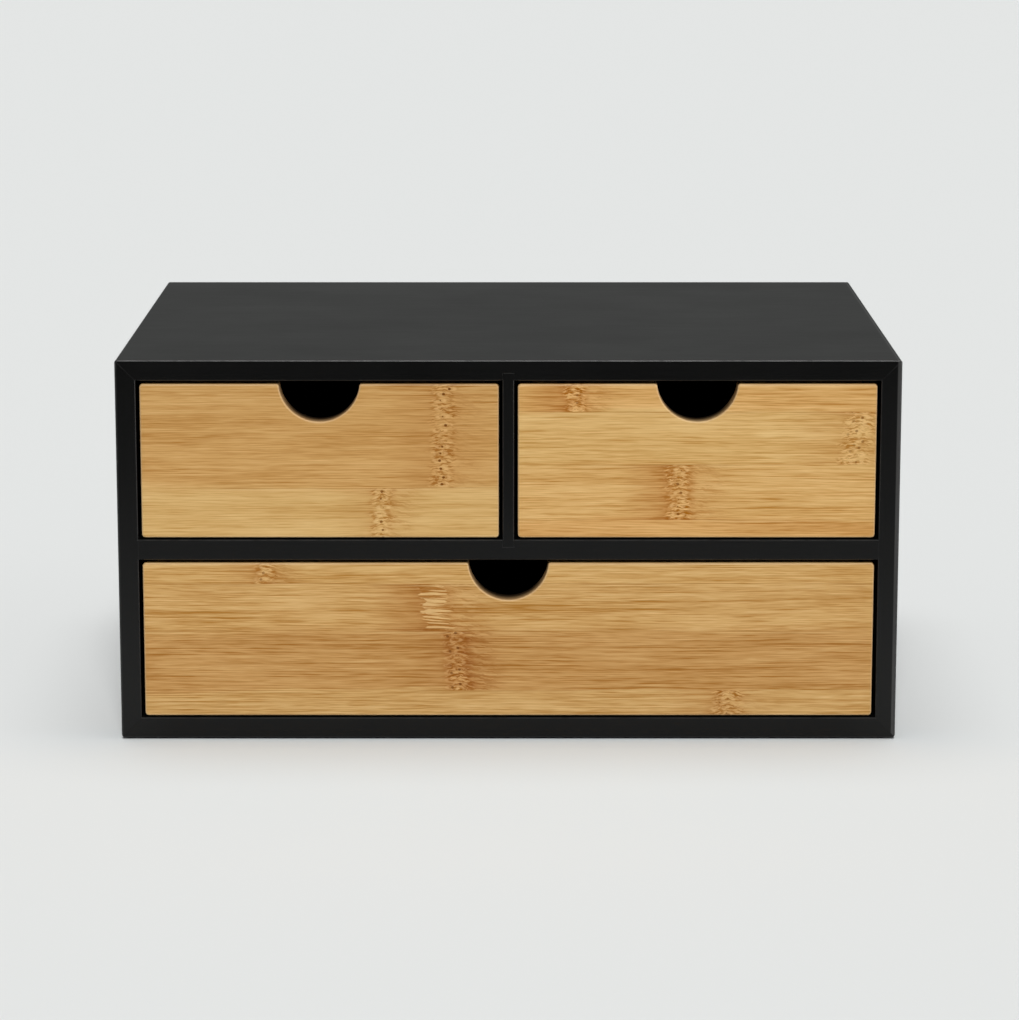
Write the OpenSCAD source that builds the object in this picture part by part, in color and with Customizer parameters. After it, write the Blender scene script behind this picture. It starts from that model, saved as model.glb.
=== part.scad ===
// Desktop mini drawers: a black mitred case that holds two small drawers side by side
// above one wide drawer. Each drawer has a bamboo front with a half-round finger notch.
// Millimetres. The origin is the middle of the base, fronts face -Y and +X is to the right.

/* [Case] */
// Overall width of the case
case_w = 340; // [280:1:420]
// Overall depth of the case
case_d = 255; // [200:1:320]
// Thickness of the top, bottom, side and shelf boards
board_t = 9; // [8:0.1:14]
// Clear height of the bay that holds the wide drawer
lower_bay_h = 70.7; // [56:0.1:110]
// Clear height of the two bays that hold the small drawers
upper_bay_h = 69.9; // [56:0.1:110]
// Radius of the case's eased upright edges and of those that run from front to rear
case_edge_r = 1.4; // [0.4:0.1:2]
// Radius of the finer edges that run along the case's width
case_arris_r = 0.6; // [0.3:0.1:2]
// Size of the bevel round the mouth of each bay
mouth_bevel = 0.4; // [0.1:0.1:0.8]

/* [Partition and back panel] */
// Thickness of the upright partition
partition_t = 5; // [4:0.1:9]
// Depth of the housings that hold the partition's two ends
housing_d = 3.4; // [2:0.1:5]
// Thickness of the back panel
back_t = 3; // [2:0.1:5]
// Width of the rebate that the back panel sits in
rebate_w = 5; // [3.5:0.1:6]
// Depth of the back panel's outer face below the rear edges of the case
back_inset = 0.5; // [0:0.1:2]

/* [Case joints] */
// Thickness of the loose tongue in each mitre
tongue_t = 2.2; // [1.6:0.1:2.6]
// Width of the loose tongue, square to the mitre
tongue_w = 7.6; // [5:0.1:8]
// Distance along a board from the inside corner to the middle of the tongue
tongue_seat = 3.7; // [3.5:0.1:4.2]
// Length left solid in front of each tongue and behind it
tongue_stop = 20; // [12:1:40]
// Diameter of the dowels in the ends of the shelf
dowel_d = 5; // [3:0.5:6]
// Length of the dowels
dowel_l = 18; // [14:0.5:30]
// Depth of a dowel in the side board
dowel_side_d = 6; // [3:0.5:6.5]
// Distance from the front or rear edge to the nearest dowel
dowel_edge = 45; // [30:1:80]
// Size of the bevel on a dowel's ends
dowel_bevel = 0.7; // [0.2:0.1:1]

/* [Brads] */
// Diameter of a brad's shank
brad_d = 1.2; // [0.8:0.1:1.4]
// Diameter of a brad's flat head
brad_head_d = 2.4; // [1.8:0.1:3]
// Thickness of a brad's head
brad_head_t = 0.4; // [0.2:0.1:0.8]
// Length of a brad's point
brad_point_l = 1.5; // [0.8:0.1:2.5]
// Length of the brads in the back panel
back_brad_l = 14; // [9:0.5:20]
// Length of the brads in the drawer boxes
box_brad_l = 15; // [11:0.5:20]
// Brads along each of the top, bottom and shelf boards
long_brad_count = 4; // [2:2:6]
// Brads along each side board
side_brad_count = 2; // [2:2:4]

/* [Foot pads] */
// Diameter of a foot pad
pad_d = 12; // [8:1:20]
// Thickness of a foot pad
pad_t = 0.8; // [0.4:0.1:3]
// Distance from the case's outer faces to the middle of a pad
pad_inset = 16; // [13:1:40]
// Radius of a pad's lower edge
pad_edge_r = 0.25; // [0.1:0.05:0.35]

/* [Drawer fronts] */
// Thickness of a front
front_t = 10; // [8:0.1:14]
// Distance that a closed front lies behind the case's front edges
front_set_back = 0.5; // [0:0.1:3]
// Gap at each end of a front
side_gap = 1.6; // [0.6:0.1:3]
// Gap below a front
under_gap = 0.8; // [0.6:0.1:2]
// Gap above a front
over_gap = 1.5; // [0.6:0.1:2.5]
// Radius of a front's corners, seen from the front
front_corner_r = 1.5; // [1.2:0.1:5]
// Radius of the eased edge all round a front's face
front_edge_r = 0.9; // [0.3:0.1:1.1]
// Diameter of the finger notch
notch_d = 35; // [24:1:44]
// Height of the notch's centre above the front's top edge
notch_rise = 1.1; // [0:0.1:4]
// Size of the flat bevel on the two corners at the notch's mouth
notch_bevel = 0.6; // [0.2:0.1:1.5]

/* [Drawer boxes] */
// Thickness of a box's sides and back
box_t = 6; // [5:0.1:8]
// Thickness of a drawer's bottom board
bottom_t = 3; // [2:0.1:5]
// Height of the bottom board above the box's lower edges
bottom_lift = 4; // [3:0.5:8]
// Depth of the grooves that hold the bottom board
groove_d = 3; // [1.5:0.1:4]
// Depth of the rebates in a front's back face, for the box's sides
front_rebate_d = 5; // [3:0.1:6]
// Depth of the rebates in the box's sides, for its back
back_rebate_d = 3; // [1.5:0.1:4]
// Distance from a front's top edge down to the rim of its box
rim_drop = 8; // [2:0.5:16]
// Radius of the rounded rim of a box
rim_r = 1; // [0.3:0.1:2]

/* [Fits] */
// Gap between a box's lower edges and the board that it slides on
run_gap = 0.3; // [0.1:0.05:0.5]
// Gap between a closed drawer and the back panel
stop_gap = 0.3; // [0.1:0.1:3]
// Gap at each face of a glued or pinned joint
fit_gap = 0.05; // [0.02:0.01:0.15]

/* [Hidden] */
$fn = 64;

black_paint = "#1c1c1d";
bamboo = "#c99c61";
beech = "#d8b98a";
pad_grey = "#3a3a3c";
steel = "#a9abad";

LEFT = -1;
RIGHT = 1;
// Overlap that a cutter has past the face that it opens
past = 1;

// Heights of the case's boards, from the floor up
base_z = pad_t;
lower_floor_z = base_z + board_t;
shelf_z = lower_floor_z + lower_bay_h;
upper_floor_z = shelf_z + board_t;
ceiling_z = upper_floor_z + upper_bay_h;
top_z = ceiling_z + board_t;
case_h = top_z - base_z;

// Depths: the bays end at the back panel
front_y = -case_d / 2;
rear_y = case_d / 2;
bay_rear_y = rear_y - back_inset - back_t;
drawer_l = bay_rear_y - front_y - front_set_back - stop_gap;

// A bay is [middle in X, floor height, clear width, clear height]
bay_w = case_w - 2 * board_t;
small_bay_w = (bay_w - partition_t) / 2;
small_bay_x = (small_bay_w + partition_t) / 2;
left_bay = [-small_bay_x, upper_floor_z, small_bay_w, upper_bay_h];
right_bay = [small_bay_x, upper_floor_z, small_bay_w, upper_bay_h];
wide_bay = [0, lower_floor_z, bay_w, lower_bay_h];

function front_w(bay) = bay[2] - 2 * side_gap;
function front_h(bay) = bay[3] - under_gap - over_gap;
function box_h(bay) = bay[3] - over_gap - rim_drop - run_gap;

// Places of count things spread evenly about the middle of a span
function spread(count, span) = [for (i = [0:count - 1]) (i + 0.5 - count / 2) * span / count];

// Heights of the two brads at each corner of a drawer box, between its bottom and its rim
function box_brad_heights(bay) =
    let (low = bottom_lift + bottom_t, clear = box_h(bay) - low)
    [for (share = [1 / 4, 3 / 4]) run_gap + low + share * clear];

// ---------- shared shapes ----------

// A box between two opposite corners
module block(low, high) {
    translate(low) cube(high - low);
}

// Runs a profile drawn in Y and Z along X
module along_x(length) {
    rotate([90, 0, 90]) linear_extrude(length, center = true) children();
}

// Runs a profile drawn in X and Z along Y
module along_y(length) {
    rotate([90, 0, 0]) linear_extrude(length, center = true) children();
}

module mirror_if(mirrored) {
    mirror([mirrored ? 1 : 0, 0, 0]) children();
}

module rounded_rect(width, height, radius) {
    square([width - 2 * radius, height], center = true);
    square([width, height - 2 * radius], center = true);
    for (x = [-1, 1], y = [-1, 1]) {
        translate([x * (width / 2 - radius), y * (height / 2 - radius)]) circle(radius);
    }
}

// A flat-headed pin, driven along -Z with its head's face at the origin
module brad(length) {
    shank_r = brad_d / 2;
    rotate_extrude() polygon([
        [0, 0], [brad_head_d / 2, 0], [brad_head_d / 2, -brad_head_t],
        [shank_r, -brad_head_t], [shank_r, brad_point_l - length], [0, -length],
    ]);
}

module brad_hole(length) {
    depth = length + fit_gap;
    translate([0, 0, -depth]) cylinder(d = brad_d + 2 * fit_gap, h = depth + past);
    translate([0, 0, -brad_head_t]) {
        cylinder(d = brad_head_d + 2 * fit_gap, h = brad_head_t + past);
    }
}

// ---------- case ----------

// The whole case as one block with its outer edges eased
module case_block() {
    translate([0, 0, base_z + case_h / 2]) intersection() {
        linear_extrude(case_h, center = true) rounded_rect(case_w, case_d, case_edge_r);
        along_x(case_w) rounded_rect(case_d, case_h, case_arris_r);
        along_y(case_d) rounded_rect(case_w, case_h, case_edge_r);
    }
}

// Bevels the mouth of a bay: a shallow frustum that widens towards the front
module bay_mouth(bay) {
    reach = mouth_bevel + past;
    function flare(half) = [
        [-half - reach, -past], [half + reach, -past],
        [half, mouth_bevel], [-half, mouth_bevel],
    ];
    translate([bay[0], front_y, bay[1] + bay[3] / 2]) intersection() {
        linear_extrude(bay[3] + 2 * reach, center = true) polygon(flare(bay[2] / 2));
        along_x(bay[2] + 2 * reach) polygon([for (p = flare(bay[3] / 2)) [p[1], p[0]]]);
    }
}

module bay_mouths() {
    bay_mouth(left_bay);
    bay_mouth(right_bay);
    bay_mouth(wide_bay);
}

// The recess that the back panel sits in, cut in the rear edges of the four outer boards
module back_rebate() {
    reach = bay_w / 2 + rebate_w;
    block([-reach, bay_rear_y, lower_floor_z - rebate_w],
          [reach, rear_y + past, ceiling_z + rebate_w]);
}

// Loose tongues across the four mitres, grown by the gap where they are used as cutters
module mitre_tongues(gap) {
    seat = board_t - tongue_seat;
    length = case_d - 2 * tongue_stop + 2 * gap;
    for (x = [-1, 1], z = [-1, 1]) {
        translate([x * (case_w / 2 - seat), 0, base_z + case_h / 2 + z * (case_h / 2 - seat)])
            rotate([0, x * z * 45, 0])
            cube([tongue_w + 2 * gap, length, tongue_t + 2 * gap], center = true);
    }
}

// Housings for the partition, cut in the underside of the top and in the top of the shelf
module partition_housings() {
    half = partition_t / 2 + fit_gap;
    block([-half, front_y - past, upper_floor_z - housing_d],
          [half, rear_y + past, ceiling_z + housing_d]);
}

// Dowels or, with a gap, the holes for them in the sides and in the ends of the shelf
module dowel_places() {
    reach = case_d / 2 - dowel_edge;
    for (side = [LEFT, RIGHT], y = [-reach, reach]) {
        middle = bay_w / 2 + dowel_side_d - dowel_l / 2;
        translate([side * middle, y, shelf_z + board_t / 2]) rotate([0, 90, 0]) children();
    }
}

module dowel_holes() {
    dowel_places() cylinder(d = dowel_d + 2 * fit_gap, h = dowel_l + 2 * fit_gap, center = true);
}

// Places of the brads that hold the back panel, each driven towards the front
module back_brad_places() {
    across = spread(long_brad_count, bay_w);
    middle_z = (lower_floor_z + ceiling_z) / 2;
    rows = [lower_floor_z - rebate_w / 2, shelf_z + board_t / 2, ceiling_z + rebate_w / 2];
    for (x = across, z = rows) {
        translate([x, bay_rear_y + back_t, z]) rotate([-90, 0, 0]) children();
    }
    for (side = [LEFT, RIGHT], up = spread(side_brad_count, ceiling_z - lower_floor_z)) {
        translate([side * (bay_w + rebate_w) / 2, bay_rear_y + back_t, middle_z + up])
            rotate([-90, 0, 0]) children();
    }
}

module back_brad_holes() {
    back_brad_places() brad_hole(back_brad_l);
}

// The part of the case block that belongs to the board above or below the bays
module mitred_level(inner_z, outer_z) {
    direction = sign(outer_z - inner_z);
    intersection() {
        case_block();
        along_y(case_d + 2 * past) polygon([
            [-bay_w / 2, inner_z], [bay_w / 2, inner_z],
            [case_w / 2 + past, outer_z + direction * past],
            [-case_w / 2 - past, outer_z + direction * past],
        ]);
    }
}

// The part of the case block that belongs to the board at one side of the bays
module mitred_side(side) {
    intersection() {
        case_block();
        along_y(case_d + 2 * past) polygon([
            [side * bay_w / 2, lower_floor_z], [side * bay_w / 2, ceiling_z],
            [side * (case_w / 2 + past), top_z + past],
            [side * (case_w / 2 + past), base_z - past],
        ]);
    }
}

module top_panel() {
    color(black_paint) difference() {
        mitred_level(ceiling_z, top_z);
        bay_mouths();
        back_rebate();
        mitre_tongues(fit_gap);
        partition_housings();
        back_brad_holes();
    }
}

module bottom_panel() {
    color(black_paint) difference() {
        mitred_level(lower_floor_z, base_z);
        bay_mouths();
        back_rebate();
        mitre_tongues(fit_gap);
        back_brad_holes();
    }
}

module side_panel(side) {
    color(black_paint) difference() {
        mitred_side(side);
        bay_mouths();
        back_rebate();
        mitre_tongues(fit_gap);
        dowel_holes();
        back_brad_holes();
    }
}

module left_panel() {
    side_panel(LEFT);
}

module right_panel() {
    side_panel(RIGHT);
}

module corner_tongues() {
    color(beech) mitre_tongues(0);
}

module shelf() {
    color(black_paint) difference() {
        block([-bay_w / 2, front_y, shelf_z], [bay_w / 2, bay_rear_y, upper_floor_z]);
        bay_mouths();
        partition_housings();
        dowel_holes();
        back_brad_holes();
    }
}

// A turned pin with bevelled ends
module shelf_dowels() {
    radius = dowel_d / 2;
    half = dowel_l / 2;
    color(beech) dowel_places() rotate_extrude() polygon([
        [0, -half], [radius - dowel_bevel, -half], [radius, dowel_bevel - half],
        [radius, half - dowel_bevel], [radius - dowel_bevel, half], [0, half],
    ]);
}

module partition() {
    depth = housing_d - fit_gap;
    color(black_paint) difference() {
        block([-partition_t / 2, front_y, upper_floor_z - depth],
              [partition_t / 2, bay_rear_y, ceiling_z + depth]);
        bay_mouths();
    }
}

module back_panel() {
    reach = bay_w / 2 + rebate_w - fit_gap;
    rise = rebate_w - fit_gap;
    color(black_paint) difference() {
        block([-reach, bay_rear_y, lower_floor_z - rise],
              [reach, bay_rear_y + back_t, ceiling_z + rise]);
        back_brad_holes();
    }
}

module back_panel_brads() {
    color(steel) back_brad_places() brad(back_brad_l);
}

module foot_pads() {
    radius = pad_d / 2;
    reach_x = case_w / 2 - pad_inset;
    reach_y = case_d / 2 - pad_inset;
    color(pad_grey) for (x = [-reach_x, reach_x], y = [-reach_y, reach_y]) {
        translate([x, y, 0]) rotate_extrude() {
            square([radius - pad_edge_r, pad_t]);
            translate([0, pad_edge_r]) square([radius, pad_t - pad_edge_r]);
            translate([radius - pad_edge_r, pad_edge_r]) circle(pad_edge_r);
        }
    }
}

// ---------- drawer front ----------

// The waste outside the eased edge: it lies beyond X = 0 and above Y = 0, where the face is
module eased_edge_waste() {
    difference() {
        translate([-front_edge_r, -front_edge_r]) square(front_edge_r + past);
        translate([-front_edge_r, -front_edge_r]) circle(front_edge_r);
    }
}

// Eases a straight edge that runs along X and faces +Y, with its middle at the origin
module ease_straight(length) {
    along_x(length) eased_edge_waste();
}

// Eases a quarter-round corner of the board, centred on the origin
module ease_corner(radius) {
    rotate_extrude(angle = 90) translate([radius, 0]) eased_edge_waste();
}

// Eases the rim of a round hole in the board, centred on the origin
module ease_hole(radius) {
    rotate_extrude($fn = 128) translate([radius, 0]) mirror([1, 0]) eased_edge_waste();
}

// A front lying flat with its face up at Z = 0 and its notch towards +Y.
// The eased edge runs all round the face: along the four edges, round the outer corners
// and down through the notch, where it meets the top edge in a mitre.
module notched_board(width, height) {
    notch_r = notch_d / 2;
    notch_y = height / 2 + notch_rise;
    mouth_x = sqrt(notch_r * notch_r - notch_rise * notch_rise);
    corner_x = width / 2 - front_corner_r;
    corner_y = height / 2 - front_corner_r;

    difference() {
        translate([0, 0, -front_t]) linear_extrude(front_t) difference() {
            rounded_rect(width, height, front_corner_r);
            translate([0, notch_y]) circle(notch_r, $fn = 128);
            for (side = [LEFT, RIGHT]) polygon([
                [side * (mouth_x + notch_bevel + past), height / 2 + past],
                [side * (mouth_x - past), height / 2 + past],
                [side * (mouth_x - past), height / 2 - notch_bevel - past],
            ]);
        }
        for (turn = [0, 180]) {
            rotate([0, 0, turn]) translate([0, height / 2, 0]) ease_straight(2 * corner_x);
        }
        for (turn = [90, 270]) {
            rotate([0, 0, turn]) translate([0, width / 2, 0]) ease_straight(2 * corner_y);
        }
        for (turn = [0:3]) {
            x = (turn == 0 || turn == 3) ? corner_x : -corner_x;
            y = turn < 2 ? corner_y : -corner_y;
            translate([x, y, 0]) rotate([0, 0, 90 * turn]) ease_corner(front_corner_r);
        }
        translate([0, notch_y, 0]) ease_hole(notch_r);
    }
}

// ---------- drawers ----------

// Drawer pieces are drawn with X = 0 mid-drawer, Y = 0 at the front's face, Z = 0 at the floor
module in_bay(bay) {
    translate([bay[0], front_y + front_set_back, bay[1]]) children();
}

// The slot for the bottom board, where it runs into the front, the sides and the back
module bottom_slot(bay, grow) {
    reach = front_w(bay) / 2 - box_t + groove_d - fit_gap + grow;
    low = run_gap + bottom_lift + fit_gap - grow;
    block([-reach, front_t - groove_d + fit_gap - grow, low],
          [reach, drawer_l - box_t + groove_d - fit_gap + grow, low + bottom_t + 2 * grow]);
}

// Places of the brads at the corners of a box, each driven inwards from the side's outer face
module box_brad_places(bay, sides) {
    rows = [front_t - front_rebate_d / 2, drawer_l - box_t / 2];
    for (side = sides, y = rows, z = box_brad_heights(bay)) {
        translate([side * front_w(bay) / 2, y, z]) rotate([0, side * 90, 0]) children();
    }
}

module box_brad_holes(bay, sides) {
    box_brad_places(bay, sides) brad_hole(box_brad_l);
}

// A board section that stands on Y = 0, with its upper edge rounded over
module rimmed_section(thickness, height) {
    square([thickness, height - rim_r]);
    translate([rim_r, 0]) square([thickness - 2 * rim_r, height]);
    for (x = [rim_r, thickness - rim_r]) translate([x, height - rim_r]) circle(rim_r);
}

module drawer_front(bay) {
    width = front_w(bay);
    height = front_h(bay);
    rebate_y = front_t - front_rebate_d;
    color(bamboo) in_bay(bay) difference() {
        translate([0, 0, under_gap + height / 2]) rotate([90, 0, 0]) notched_board(width, height);
        for (side = [LEFT, RIGHT]) mirror_if(side == LEFT) {
            block([width / 2 - box_t - fit_gap, rebate_y, under_gap - past],
                  [width / 2 + past, front_t + past, under_gap + height + past]);
        }
        bottom_slot(bay, fit_gap);
        box_brad_holes(bay, [LEFT, RIGHT]);
    }
}

module drawer_side(bay, side) {
    start = front_t - front_rebate_d + fit_gap;
    length = drawer_l - start;
    inner_x = front_w(bay) / 2 - box_t;
    color(black_paint) in_bay(bay) difference() {
        mirror_if(side == LEFT) difference() {
            translate([inner_x, start + length / 2, run_gap])
                along_y(length) rimmed_section(box_t, box_h(bay));
            block([inner_x - past, drawer_l - box_t - fit_gap, run_gap - past],
                  [inner_x + back_rebate_d, drawer_l + past, run_gap + box_h(bay) + past]);
            // The groove for the bottom board runs out at both ends
            translate([0, -drawer_l / 2, 0]) bottom_slot(bay, fit_gap);
            bottom_slot(bay, fit_gap);
        }
        box_brad_holes(bay, [side]);
    }
}

module drawer_back(bay) {
    length = front_w(bay) - 2 * (box_t - back_rebate_d + fit_gap);
    color(black_paint) in_bay(bay) difference() {
        translate([0, drawer_l - box_t, run_gap]) {
            along_x(length) rimmed_section(box_t, box_h(bay));
        }
        bottom_slot(bay, fit_gap);
        box_brad_holes(bay, [LEFT, RIGHT]);
    }
}

module drawer_bottom(bay) {
    color(black_paint) in_bay(bay) bottom_slot(bay, 0);
}

module drawer_brads(bay) {
    color(steel) in_bay(bay) box_brad_places(bay, [LEFT, RIGHT]) brad(box_brad_l);
}

module left_drawer_front() {
    drawer_front(left_bay);
}

module left_drawer_left_side() {
    drawer_side(left_bay, LEFT);
}

module left_drawer_right_side() {
    drawer_side(left_bay, RIGHT);
}

module left_drawer_back() {
    drawer_back(left_bay);
}

module left_drawer_bottom() {
    drawer_bottom(left_bay);
}

module left_drawer_brads() {
    drawer_brads(left_bay);
}

module right_drawer_front() {
    drawer_front(right_bay);
}

module right_drawer_left_side() {
    drawer_side(right_bay, LEFT);
}

module right_drawer_right_side() {
    drawer_side(right_bay, RIGHT);
}

module right_drawer_back() {
    drawer_back(right_bay);
}

module right_drawer_bottom() {
    drawer_bottom(right_bay);
}

module right_drawer_brads() {
    drawer_brads(right_bay);
}

module wide_drawer_front() {
    drawer_front(wide_bay);
}

module wide_drawer_left_side() {
    drawer_side(wide_bay, LEFT);
}

module wide_drawer_right_side() {
    drawer_side(wide_bay, RIGHT);
}

module wide_drawer_back() {
    drawer_back(wide_bay);
}

module wide_drawer_bottom() {
    drawer_bottom(wide_bay);
}

module wide_drawer_brads() {
    drawer_brads(wide_bay);
}

top_panel();
bottom_panel();
left_panel();
right_panel();
corner_tongues();
shelf();
shelf_dowels();
partition();
back_panel();
back_panel_brads();
foot_pads();
left_drawer_front();
left_drawer_left_side();
left_drawer_right_side();
left_drawer_back();
left_drawer_bottom();
left_drawer_brads();
right_drawer_front();
right_drawer_left_side();
right_drawer_right_side();
right_drawer_back();
right_drawer_bottom();
right_drawer_brads();
wide_drawer_front();
wide_drawer_left_side();
wide_drawer_right_side();
wide_drawer_back();
wide_drawer_bottom();
wide_drawer_brads();
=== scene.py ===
"""Desktop mini drawers: a satin black case with three bamboo-fronted drawers.

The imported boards, pins and pads keep their shape and get their finishes here. Places on the
object are in metres; inside the finishes, lengths along a surface are in millimetres.
"""
import logging
import math
from dataclasses import dataclass
from enum import Enum
from typing import Any, Iterable, Optional, Sequence, Union

import bmesh
import bpy
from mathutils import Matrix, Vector

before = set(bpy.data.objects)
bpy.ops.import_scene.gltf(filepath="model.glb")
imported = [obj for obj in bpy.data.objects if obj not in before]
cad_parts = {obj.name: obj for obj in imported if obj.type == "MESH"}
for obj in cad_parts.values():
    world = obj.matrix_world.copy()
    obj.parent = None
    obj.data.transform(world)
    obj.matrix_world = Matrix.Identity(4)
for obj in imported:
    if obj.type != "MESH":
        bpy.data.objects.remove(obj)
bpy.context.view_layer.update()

LOG = logging.getLogger("mini_drawers")
MM = 0.001

Rgb = tuple[float, float, float]
Sockets = dict[Union[int, str], Any]

# The case in the finishes' millimetres: half its width, its front and its top
CASE_SIDE = 170.0
CASE_FRONT = -127.5
CASE_TOP = 168.4


class Axis(Enum):
    """Which way the grain of a piece runs."""

    X = 0
    Y = 1
    Z = 2


class Rays(Enum):
    """Kinds of ray that a background can answer to."""

    CAMERA = "Is Camera Ray"
    GLOSSY = "Is Glossy Ray"
    TRANSMISSION = "Is Transmission Ray"


# ---------- shader maths ----------


class Link:
    """One output socket, kept with the shader that it belongs to."""

    def __init__(self, shader: "Shader", socket: bpy.types.NodeSocket) -> None:
        """Keeps the socket.

        Args:
            shader: The shader whose nodes the socket is among.
            socket: The output socket.
        """
        self.shader = shader
        self.socket = socket


class Number(Link):
    """A number that varies over a surface, for use in Python expressions."""

    def _with(self, operation: str, *terms: "Term") -> "Number":
        """Adds a Math node that works on the terms."""
        made = self.shader.add("ShaderNodeMath", {"operation": operation}, dict(enumerate(terms)))
        return Number(self.shader, made.outputs[0])

    def __add__(self, other: "Term") -> "Number":
        """The sum."""
        return self._with("ADD", self, other)

    __radd__ = __add__

    def __sub__(self, other: "Term") -> "Number":
        """The difference."""
        return self._with("SUBTRACT", self, other)

    def __rsub__(self, other: "Term") -> "Number":
        """The difference, taken from a plain number."""
        return self._with("SUBTRACT", other, self)

    def __mul__(self, other: "Term") -> "Number":
        """The product."""
        return self._with("MULTIPLY", self, other)

    __rmul__ = __mul__

    def __truediv__(self, other: "Term") -> "Number":
        """The quotient."""
        return self._with("DIVIDE", self, other)

    def __rtruediv__(self, other: "Term") -> "Number":
        """The quotient, with a plain number on top."""
        return self._with("DIVIDE", other, self)

    def __abs__(self) -> "Number":
        """The size without its sign."""
        return self._with("ABSOLUTE", self)

    def __gt__(self, other: "Term") -> "Number":
        """One where this is the larger, and otherwise zero."""
        return self._with("GREATER_THAN", self, other)

    def __lt__(self, other: "Term") -> "Number":
        """One where this is the smaller, and otherwise zero."""
        return self._with("LESS_THAN", self, other)

    def largest(self, other: "Term") -> "Number":
        """The larger of the two."""
        return self._with("MAXIMUM", self, other)

    def floor(self) -> "Number":
        """The whole number at or below it."""
        return self._with("FLOOR", self)

    def ramp(self, start: "Term", end: "Term", low: float = 0.0, high: float = 1.0) -> "Number":
        """Eases smoothly from one value to another.

        Args:
            start: Where it leaves the first value.
            end: Where it reaches the other; this may be below start if both are plain numbers.
            low: The value at start and before it.
            high: The value at end and beyond it.

        Returns:
            The eased number.
        """
        if isinstance(start, (int, float)) and isinstance(end, (int, float)) and end < start:
            start, end, low, high = end, start, high, low
        made = self.shader.add(
            "ShaderNodeMapRange",
            {"interpolation_type": "SMOOTHSTEP"},
            {"Value": self, "From Min": start, "From Max": end, "To Min": low, "To Max": high},
        )
        return Number(self.shader, made.outputs[0])

    def bell(self, width: float, middle: float = 0.0) -> "Number":
        """One at the middle, falling smoothly to nothing at width on either side."""
        return abs(self - middle).ramp(width, 0.0)


class Triple(Link):
    """A place or a direction that varies over a surface."""

    def __mul__(self, scale: Union[float, Sequence[float]]) -> "Triple":
        """Scales it.

        Args:
            scale: One number, or one for each part.

        Returns:
            The product.
        """
        scales = (scale,) * 3 if isinstance(scale, (int, float)) else scale
        made = self.shader.add(
            "ShaderNodeVectorMath", {"operation": "MULTIPLY"}, {0: self, 1: scales}
        )
        return Triple(self.shader, made.outputs[0])

    __rmul__ = __mul__

    def parts(self) -> tuple[Number, Number, Number]:
        """The three numbers that it is made of."""
        made = self.shader.add("ShaderNodeSeparateXYZ", {}, {0: self})
        x, y, z = (Number(self.shader, socket) for socket in made.outputs)
        return x, y, z


class Colour(Link):
    """A colour that varies over a surface."""

    def towards(self, other: "Paint", share: "Term", blend: str = "MIX") -> "Colour":
        """Blends another colour in.

        Args:
            other: The other colour.
            share: How much of it, from 0 to 1.
            blend: The Mix node's way of blending.

        Returns:
            The blended colour.
        """
        return self.shader.blended(self, other, share, blend)


Term = Union[float, Number]
Paint = Union[Rgb, Colour]


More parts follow.
